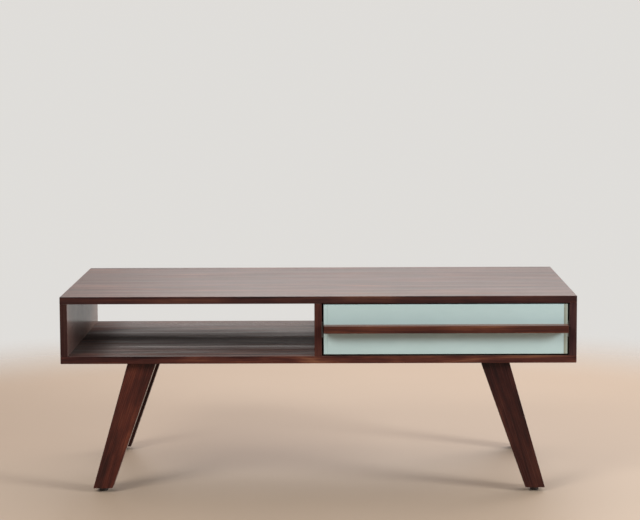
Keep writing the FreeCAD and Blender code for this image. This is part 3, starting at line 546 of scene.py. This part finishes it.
def paint_material(name, shades, across=None):
    """Satin paint, sprayed over wood whose grain faintly lifts the film.
    The shades come in soft clouds or, on a narrow strip, run across it from one X to another."""
    material, shader, place = new_material(name)
    cloud = noise(place, PAINT_CLOUD)
    lifted = noise(place, PAINT_GRAIN)
    peel = noise(place, PAINT_PEEL)
    mix = cloud.fit(*CLOUD_EDGES)
    if across:
        mix = place.along(ALONG_X).fit(*across) * PAINT_STRIP_SHARE + mix * (1.0 - PAINT_STRIP_SHARE)
    last = len(shades) - 1
    tint = mix.colours([i / last for i in range(len(shades))], shades)
    shade = cloud * PAINT_CLOUD_SHADE + lifted * PAINT_GRAIN_SHADE + PAINT_SHADE
    feed_all(shader, {
        "Base Color": tint.tinted(shade),
        "Roughness": cloud * PAINT_CLOUD_ROUGHNESS + peel * PAINT_PEEL_ROUGHNESS + PAINT_ROUGHNESS,
        "IOR": PAINT_IOR,
    })
    relief = peel * PAINT_PEEL_RELIEF + lifted * PAINT_GRAIN_RELIEF
    set_bump(shader, relief, PAINT_RELIEF_DEPTH, PAINT_RELIEF_STRENGTH)
    return material


def metal_material(metal):
    """Plated or turned metal with streaks and a faint mottling."""
    material, shader, place = new_material(metal.name)
    streak = noise(place, METAL_MOTTLE._replace(scale=metal.streaks))
    mottle = noise(place, METAL_MOTTLE)
    dark = tuple(channel * METAL_MOTTLE_GAIN for channel in metal.colour)
    shade = streak * METAL_STREAK_SHADE + mottle * METAL_MOTTLE_SHADE + METAL_SHADE
    rough = streak * METAL_STREAK_ROUGHNESS + mottle * METAL_MOTTLE_ROUGHNESS
    feed_all(shader, {
        "Base Color": mottle.colours(CLOUD_EDGES, (metal.colour, dark)).tinted(shade),
        "Roughness": rough + (metal.roughness - ROUGHNESS_OFFSET),
        "Metallic": 1.0,
    })
    set_bump(shader, streak, METAL_RELIEF_DEPTH, METAL_RELIEF_STRENGTH)
    return material


def moulded_material(moulding):
    """Dark moulded plastic or rubber with a fine spark-eroded texture and a little dust."""
    material, shader, place = new_material(moulding.name)
    grit = noise(place, moulding.grit)
    dust = noise(place, DUST)
    light = tuple(channel * DUST_GAIN + DUST_LIGHT for channel in moulding.colour)
    tone = dust * DUST_SHARE + grit * GRIT_SHARE
    feed_all(shader, {
        "Base Color": tone.colours(DUST_EDGES, (moulding.colour, light)),
        "Roughness": grit * GRIT_ROUGHNESS + (moulding.roughness - ROUGHNESS_OFFSET),
    })
    set_bump(shader, grit, GRIT_RELIEF_DEPTH, GRIT_RELIEF_STRENGTH)
    return material


def floor_material():
    """A plain floor that is clear past its rim, where the dome takes over, and clear from below."""
    material, shader, place = new_material("plain_floor")
    tree = place.tree
    cloud = noise(place, FLOOR_CLOUD)
    light = tuple(channel * FLOOR_CLOUD_GAIN for channel in FLOOR_COLOUR)
    feed_all(shader, {
        "Base Color": cloud.colours(CLOUD_EDGES, (FLOOR_COLOUR, light)),
        "Roughness": FLOOR_ROUGHNESS,
    })
    rim = place.vector("DISTANCE", (0, 0, 0), "Value").fit(*FLOOR_FADE)
    below = Field(tree, add_node(tree, "ShaderNodeNewGeometry").outputs["Backfacing"])
    clear = add_node(tree, "ShaderNodeBsdfTransparent")
    mix = add_node(tree, "ShaderNodeMixShader")
    share, plain_side, clear_side = mix.inputs
    feed(share, rim.calculate("MAXIMUM", below))
    tree.links.new(shader.outputs["BSDF"], plain_side)
    tree.links.new(clear.outputs["BSDF"], clear_side)
    tree.links.new(mix.outputs["Shader"], tree.nodes["Material Output"].inputs["Surface"])
    return material


def dress(name, material):
    """Give a piece this material alone."""
    slots = frame["nodes"][name].data.materials
    slots.clear()
    slots.append(material)


def middle(name):
    """The middle of a piece's box."""
    low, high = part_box(name)
    return (low + high) / 2


def leg_direction(name):
    """From the middle of a leg's top to the middle of its foot, along its grain."""
    low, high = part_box(name)
    corners = [vertex.co for vertex in frame["nodes"][name].data.vertices]
    top = [corner.x for corner in corners if corner.z > high.z - LEG_END_HEIGHT]
    foot = [corner.x for corner in corners if corner.z < low.z + LEG_END_HEIGHT]
    run = (min(foot) + max(foot)) / 2 - (min(top) + max(top)) / 2
    return Vector((run, 0, low.z - high.z)).normalized()


def dress_wood():
    """Every wooden piece has its own cut of wood, with the grain along the piece."""
    flat = (ALONG_X, ALONG_Z)
    facing_front = (ALONG_X, ALONG_Y)
    upright = (ALONG_Z, ALONG_X)
    endwise = (ALONG_Y, ALONG_X)
    pieces = [
        ("top_board", TOP_ROSEWOOD, flat, 139),
        ("bottom_board", SHELF_ROSEWOOD, flat, 163),
        ("drawer_bay_back", ROSEWOOD, facing_front, 3),
        ("drawer_pull", PULL_ROSEWOOD, facing_front, 27),
        ("left_side_panel", LEFT_PANEL_ROSEWOOD, upright, 5),
        ("right_side_panel", RIGHT_PANEL_ROSEWOOD, upright, 144),
        ("divider_panel", DIVIDER_ROSEWOOD, upright, 168),
        ("drawer_inner_front", BIRCH, facing_front, 10),
        ("drawer_back", BIRCH, facing_front, 11),
        ("drawer_bottom", BIRCH, flat, 12),
        ("drawer_left_side", BIRCH, endwise, 13),
        ("drawer_right_side", BIRCH, endwise, 14),
        ("drawer_stop_blocks", BIRCH, endwise, 15),
        ("carcass_dowels", BEECH, upright, 16),
        ("leg_dowels", BEECH, upright, 17),
        ("drawer_corner_dowels", BEECH, endwise, 18),
    ]
    for leg, (stain, fade, cut) in LEGS.items():
        # The fade darkens the leg towards its top: painted shade under the carcass.
        wood = LEG_ROSEWOOD.stained(*stain)._replace(fade=fade)
        pieces.append((leg, wood, (leg_direction(leg), ALONG_Y), cut))
    for name, wood, (grain, deep), cut in pieces:
        dress(name, wood_material(f"{name}_wood", wood, middle(name), grain, deep, cut))


def dress_paint():
    """The drawer's front and the strips at its ends."""
    low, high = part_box("drawer_front_right_lipping")
    dress("drawer_front", paint_material("duck_egg_paint", DUCK_EGG))
    dress("drawer_front_left_lipping", paint_material("left_lipping_paint", DUCK_EGG))
    dress("drawer_front_right_lipping", paint_material("right_lipping_paint", WORN_STONE, (low.x, high.x)))


def dress_hardware():
    """Metal, plastic and rubber pieces, by the material slots that the record gives them."""
    finishes = {slot: metal_material(metal) for slot, metal in METALS.items()}
    finishes.update({slot: moulded_material(moulding) for slot, moulding in MOULDINGS.items()})
    for subpart in frame["record"]["subparts"]:
        if subpart["material_slot"] in finishes:
            dress(subpart["node"], finishes[subpart["material_slot"]])


def make_floor():
    """A disc of floor under the table."""
    mesh = bpy.data.meshes.new("floor")
    shape = bmesh.new()
    bmesh.ops.create_circle(shape, cap_ends=True, segments=FLOOR_SEGMENTS, radius=FLOOR_RADIUS)
    shape.to_mesh(mesh)
    shape.free()
    mesh.materials.append(floor_material())
    floor = bpy.data.objects.new("floor", mesh)
    bpy.context.scene.collection.objects.link(floor)


def make_dome():
    """The world's light, as named at the top."""
    world = bpy.data.worlds.new("studio")
    bpy.context.scene.world = world
    world.use_nodes = True
    tree = world.node_tree
    direction = Field(tree, add_node(tree, "ShaderNodeTexCoord").outputs["Generated"])
    height = direction.along(ALONG_Z)
    front_share = direction.along(ALONG_Y).fit(*FRONT_TO_BACK, 1.0, 0.0)
    low_share = height.fit(*LOW_TO_LEVEL, 1.0, 0.0)
    back = height.fit(*LEVEL_TO_HIGH).colours((0.0, 1.0), (LEVEL_LIGHT, HIGH_LIGHT))
    sides = back.mixed((*FRONT_LIGHT, 1.0), "MIX", front_share)
    whole = sides.mixed((*LOW_LIGHT, 1.0), "MIX", low_share)
    feed(tree.nodes["Background"].inputs["Color"], whole)


def make_lamps():
    """Softboxes that face the table and aren't seen themselves."""
    for name, settings in LAMPS.items():
        data = bpy.data.lights.new(name, "AREA")
        data.shape = "RECTANGLE"
        data.size = settings.width
        data.size_y = settings.height
        data.energy = settings.power
        data.color = settings.colour
        lamp = bpy.data.objects.new(name, data)
        lamp.location = settings.place
        lamp.rotation_euler = (LAMP_TARGET - settings.place).to_track_quat("-Z", "Y").to_euler()
        lamp.visible_camera = False
        bpy.context.scene.collection.objects.link(lamp)


def make_camera():
    """The camera at the photograph's viewing angle."""
    data = bpy.data.cameras.new("camera")
    data.sensor_fit = "HORIZONTAL"
    data.sensor_width = SENSOR_WIDTH
    data.lens = FOCAL_LENGTH_PIXELS * SENSOR_WIDTH / IMAGE_WIDTH
    camera = bpy.data.objects.new("camera", data)
    turn = Matrix.Rotation(-CAMERA_YAW, MATRIX_SIZE, "Z")
    tilt = Matrix.Rotation(math.pi / 2 - CAMERA_PITCH, MATRIX_SIZE, "X")
    roll = Matrix.Rotation(CAMERA_ROLL, MATRIX_SIZE, "Z")
    camera.matrix_world = Matrix.Translation(CAMERA_PLACE) @ turn @ tilt @ roll
    bpy.context.scene.collection.objects.link(camera)
    bpy.context.scene.camera = camera


dress_wood()
dress_paint()
dress_hardware()
make_floor()
make_dome()
make_lamps()
make_camera()
bpy.context.scene.view_settings.view_transform = "Standard"
